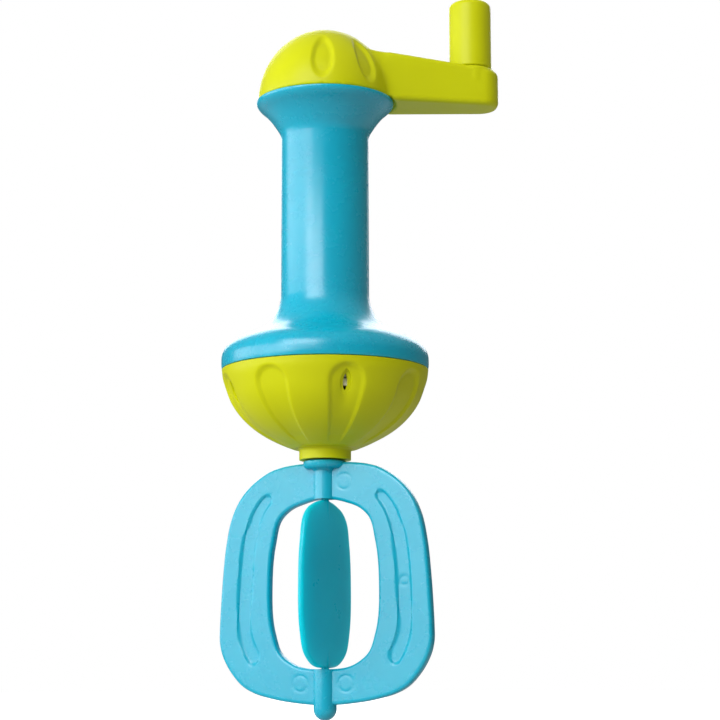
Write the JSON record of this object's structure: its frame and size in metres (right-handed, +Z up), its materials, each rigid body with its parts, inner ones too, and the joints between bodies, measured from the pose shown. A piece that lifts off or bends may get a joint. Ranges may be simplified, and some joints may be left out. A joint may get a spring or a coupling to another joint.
{
  "type": "hand-cranked bath whisk",
  "caption": "Hand-cranked whisk for bath play: a crank and knob on a hollow waisted grip drive a flat looped whisk through a gear train under a domed bell.",
  "frame": {"origin": "on the turning axis, at the middle of the grip's straight part", "axes": "+Z up along the grip towards the crank, +X along the crank arm at rest"},
  "size_m": [0.1082, 0.0796, 0.2807],
  "materials": {
    "aqua_moulding": "satin injection-moulded polypropylene",
    "lime_moulding": "satin injection-moulded polypropylene",
    "natural_nylon": "moulded, uncoloured",
    "plated_steel": "bright zinc plate"
  },
  "bodies": {
    "handle": {"grip_barrel": "aqua_moulding", "gear_bowl": "lime_moulding", "upper_bush": "natural_nylon", "lower_bush": "natural_nylon", "neck_bush": "natural_nylon", "gear_plate": "natural_nylon", "plate_screw_1": "plated_steel", "plate_screw_2": "plated_steel", "plate_screw_3": "plated_steel", "idler_pin_1": "plated_steel", "idler_pin_2": "plated_steel", "idler_pin_3": "plated_steel"},
    "crank": {"crank_arm": "lime_moulding", "crank_shaft": "natural_nylon", "crank_pin": "plated_steel", "ring_gear": "natural_nylon", "ring_gear_screw": "plated_steel", "shaft_washer": "natural_nylon", "knob_post": "plated_steel"},
    "knob": {"crank_knob": "lime_moulding"},
    "whisk": {"sun_pinion": "natural_nylon", "whisk_shaft": "plated_steel", "whisk_clip": "plated_steel", "whisk_ring": "aqua_moulding", "whisk_paddle": "aqua_moulding"},
    "idler_1": {"idler_gear_1": "natural_nylon"},
    "idler_2": {"idler_gear_2": "natural_nylon"},
    "idler_3": {"idler_gear_3": "natural_nylon"}
  },
  "joints": [
    {"name": "crank_turn", "type": "hinge", "parent": "handle", "child": "crank", "pos_m": [0, 0, 0], "axis": [0, 0, 1], "continuous": true},
    {"name": "knob_spin", "type": "hinge", "parent": "crank", "child": "knob", "pos_m": [0.0577, 0, 0.06], "axis": [0, 0, 1], "continuous": true},
    {"name": "whisk_spin", "type": "hinge", "parent": "handle", "child": "whisk", "pos_m": [0, 0, -0.09], "axis": [0, 0, 1], "continuous": true},
    {"name": "idler_spin_1", "type": "hinge", "parent": "handle", "child": "idler_1", "pos_m": [0.01478, 0.01154, -0.062], "axis": [0, 0, 1], "continuous": true},
    {"name": "idler_spin_2", "type": "hinge", "parent": "handle", "child": "idler_2", "pos_m": [-0.01738, 0.00702, -0.062], "axis": [0, 0, 1], "continuous": true},
    {"name": "idler_spin_3", "type": "hinge", "parent": "handle", "child": "idler_3", "pos_m": [0.00261, -0.01857, -0.062], "axis": [0, 0, 1], "continuous": true}
  ],
  "couplings": [
    {"joint": "whisk_spin", "follows": "crank_turn", "ratio": -4},
    {"joint": "idler_spin_1", "follows": "crank_turn", "ratio": 2.6667},
    {"joint": "idler_spin_2", "follows": "crank_turn", "ratio": 2.6667},
    {"joint": "idler_spin_3", "follows": "crank_turn", "ratio": 2.6667}
  ]
}
